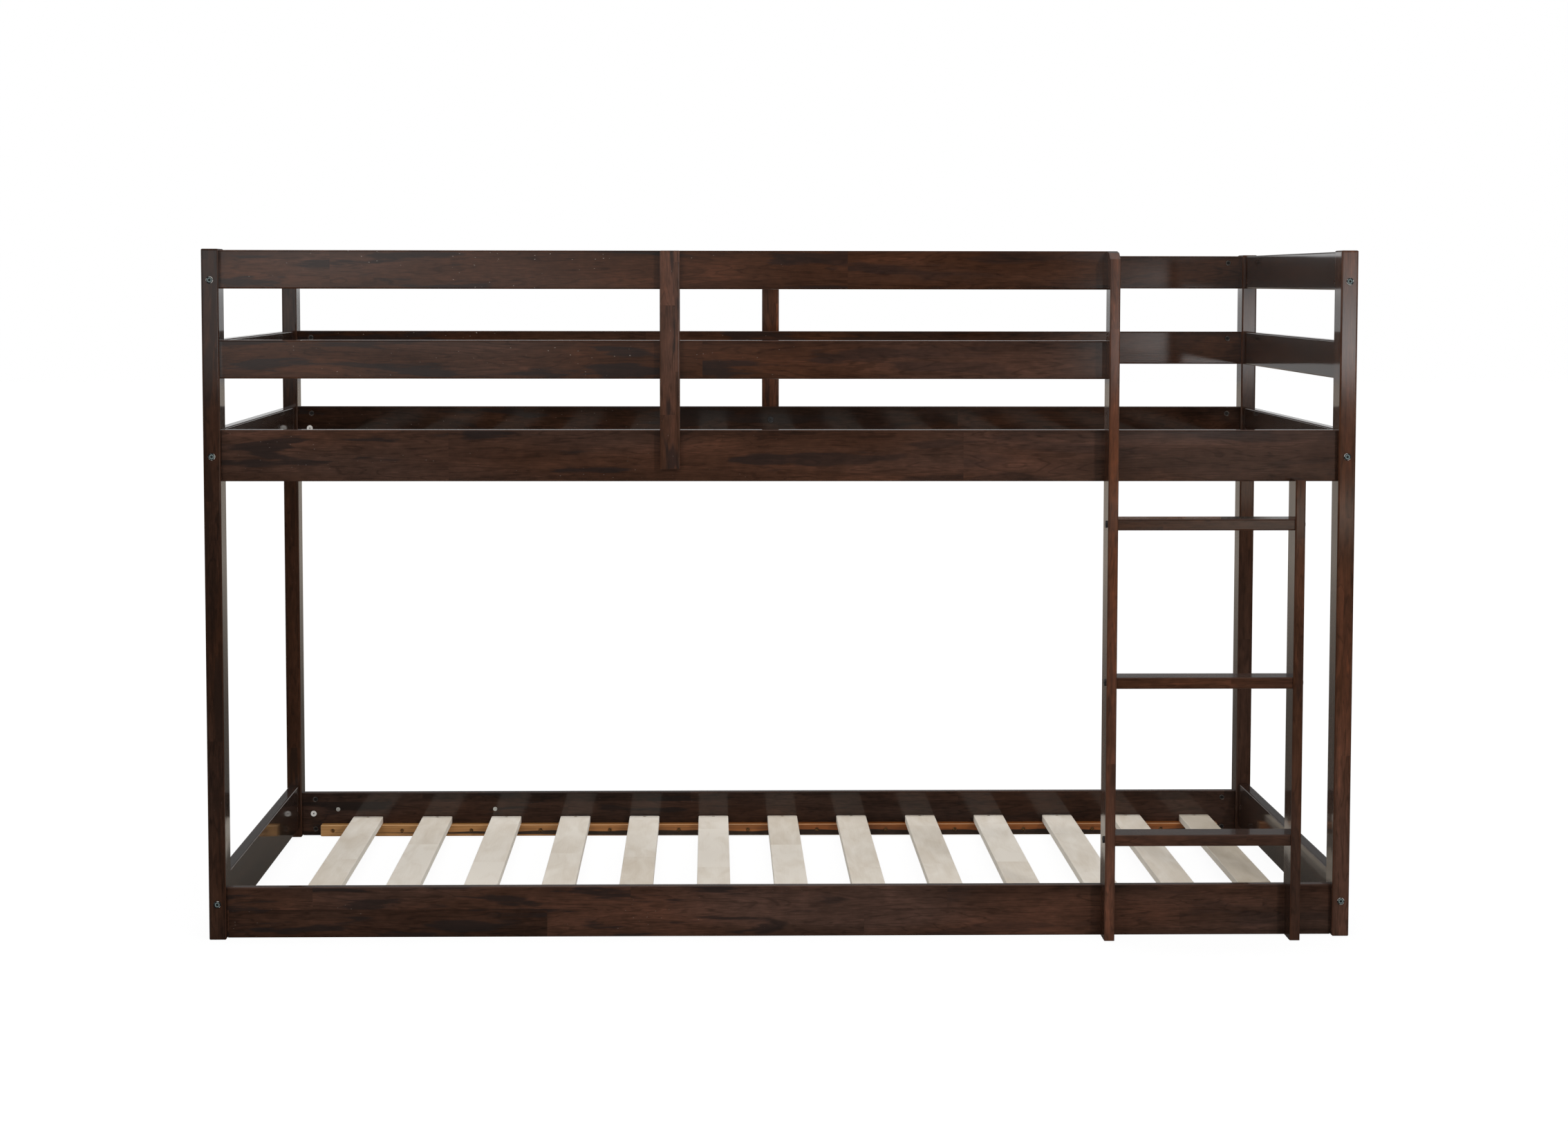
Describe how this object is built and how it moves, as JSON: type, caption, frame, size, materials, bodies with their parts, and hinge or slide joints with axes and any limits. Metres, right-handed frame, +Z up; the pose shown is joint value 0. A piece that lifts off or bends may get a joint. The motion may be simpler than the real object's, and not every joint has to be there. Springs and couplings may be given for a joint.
{
  "type": "bunk bed with ladder",
  "caption": "Low bunk bed: solid-wood posts and rails carry two slatted decks, guard rails surround the upper one, and a front ladder leads to its open corner.",
  "frame": {"origin": "on the floor, under the centre of the bounding box", "axes": "+X along the bed towards the ladder end, +Y from the ladder side to the back, +Z up"},
  "size_m": [2.015, 1.1216, 1.21],
  "materials": {
    "stained_wood": "dark espresso stain under satin lacquer",
    "honey_wood": "clear-lacquered honey wood",
    "raw_slat_wood": "planed bare wood",
    "dark_steel": "black zinc plated steel",
    "zinc_steel": "zinc plated steel",
    "yellow_zinc_steel": "yellow passivated zinc plate",
    "dowel_wood": "bare beech",
    "white_nylon": "moulded white nylon"
  },
  "bodies": {
    "root": {"post_front_left": "stained_wood", "post_front_right": "stained_wood", "post_back_left": "stained_wood", "post_back_right": "stained_wood", "front_side_rail_lower": "stained_wood", "front_side_rail_upper": "stained_wood", "front_guard_rail_middle": "stained_wood", "front_guard_rail_top": "stained_wood", "back_side_rail_lower": "stained_wood", "back_side_rail_upper": "stained_wood", "back_guard_rail_middle": "stained_wood", "back_guard_rail_top": "stained_wood", "left_end_rail_lower": "stained_wood", "left_end_rail_upper": "stained_wood", "left_end_rail_middle": "stained_wood", "left_end_rail_top": "stained_wood", "right_end_rail_lower": "stained_wood", "right_end_rail_upper": "stained_wood", "right_end_rail_middle": "stained_wood", "right_end_rail_top": "stained_wood", "front_guard_support": "stained_wood", "back_guard_support": "stained_wood", "ladder_upright_left": "stained_wood", "ladder_upright_right": "stained_wood", "ladder_tread_1": "stained_wood", "ladder_tread_2": "stained_wood", "ladder_tread_3": "stained_wood", "ledger_front_lower": "honey_wood", "ledger_back_lower": "honey_wood", "ledger_front_upper": "honey_wood", "ledger_back_upper": "honey_wood", "lower_slat_01": "raw_slat_wood", "lower_slat_02": "raw_slat_wood", "lower_slat_03": "raw_slat_wood", "lower_slat_04": "raw_slat_wood", "lower_slat_05": "raw_slat_wood", "lower_slat_06": "raw_slat_wood", "lower_slat_07": "raw_slat_wood", "lower_slat_08": "raw_slat_wood", "lower_slat_09": "raw_slat_wood", "lower_slat_10": "raw_slat_wood", "lower_slat_11": "raw_slat_wood", "lower_slat_12": "raw_slat_wood", "lower_slat_13": "raw_slat_wood", "upper_slats": "raw_slat_wood", "post_face_bolts": "dark_steel", "post_side_bolts": "dark_steel", "side_barrel_nuts": "dark_steel", "end_barrel_nuts": "dark_steel", "tread_bolts": "dark_steel", "ladder_rail_bolts": "dark_steel", "guard_support_bolts": "dark_steel", "rail_dowels": "dowel_wood", "ladder_dowels": "dowel_wood", "lower_slat_screws": "yellow_zinc_steel", "upper_slat_screws": "yellow_zinc_steel", "ledger_screws": "zinc_steel", "rail_face_screws": "zinc_steel", "rail_ring_plugs": "white_nylon"}
  },
  "joints": []
}
